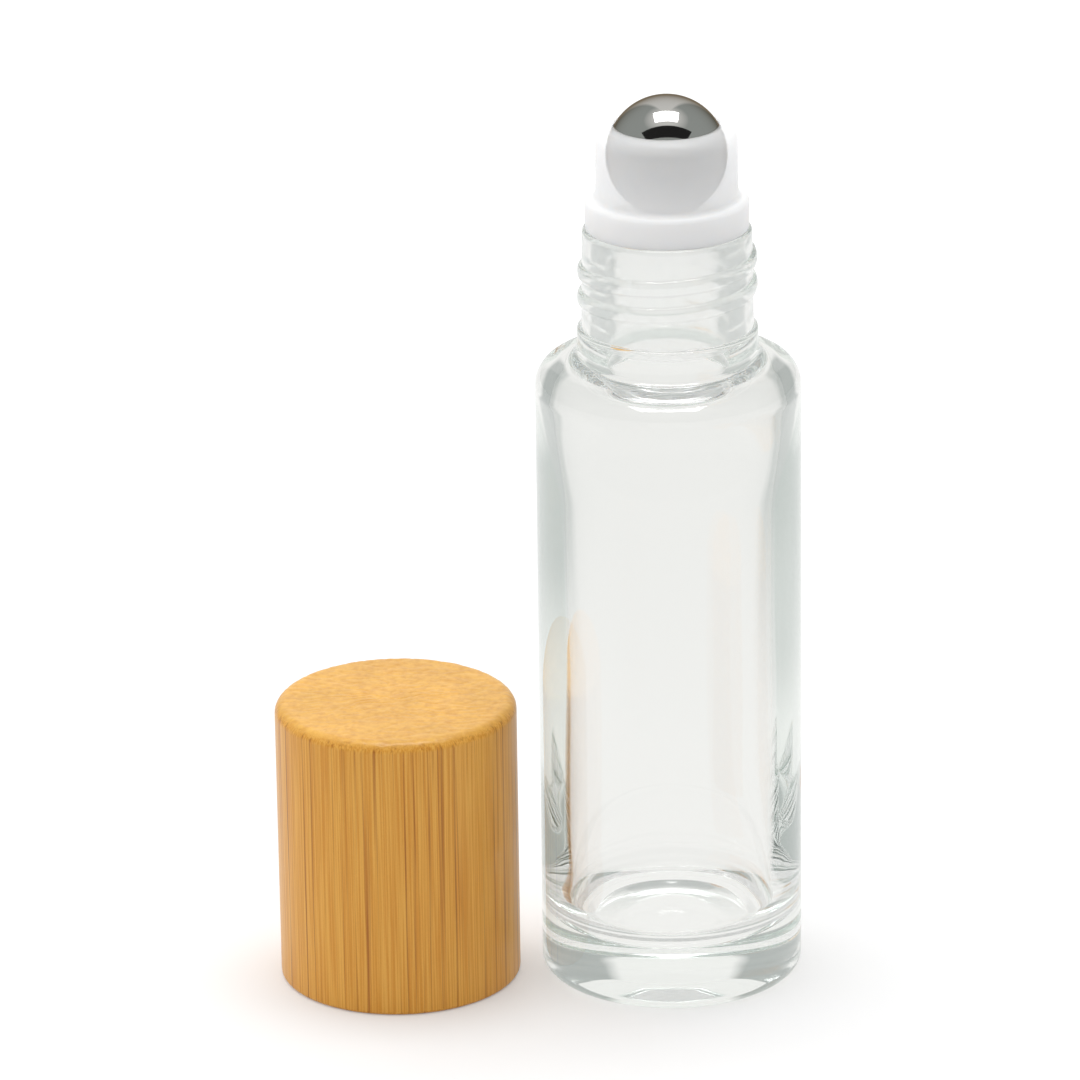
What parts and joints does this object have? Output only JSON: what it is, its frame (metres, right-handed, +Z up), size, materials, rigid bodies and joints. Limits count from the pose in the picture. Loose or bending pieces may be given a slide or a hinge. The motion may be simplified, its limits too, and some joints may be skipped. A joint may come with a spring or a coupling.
{
  "type": "roll on bottle",
  "caption": "Small clear glass roll-on bottle with a steel ball in a snap-in housing, its bamboo screw cap standing beside it.",
  "frame": {"origin": "centre of the circle that the glass bottle stands on, at table height", "axes": "+Z up along the bottle's axis; the cap stands beside the bottle towards -X; -Y is the side that faces the viewer"},
  "size_m": [0.0402, 0.02, 0.0696],
  "materials": {
    "clear_glass": "blown, fire-polished",
    "milky_polyethylene": "moulded, translucent, satin",
    "polished_steel": "mirror polished",
    "bamboo": "turned, sanded, thin matt lacquer",
    "white_polypropylene": "moulded, satin"
  },
  "bodies": {
    "bottle": {"glass_bottle": "clear_glass"},
    "fitment": {"roller_housing": "milky_polyethylene"},
    "ball": {"roller_ball": "polished_steel"},
    "cap": {"bamboo_cap": "bamboo", "cap_insert": "white_polypropylene"}
  },
  "joints": [
    {"name": "fitment_pull", "type": "slide", "parent": "bottle", "child": "fitment", "axis": [0, 0, 1], "range_m": [0, 0.012]},
    {"name": "ball_roll", "type": "hinge", "parent": "fitment", "child": "ball", "pos_m": [0, 0, 0.0651], "axis": [1, 0, 0], "continuous": true},
    {"name": "cap_lift", "type": "slide", "parent": "bottle", "child": "cap", "axis": [0, 0, 1], "range_m": [0, 0.075]}
  ]
}
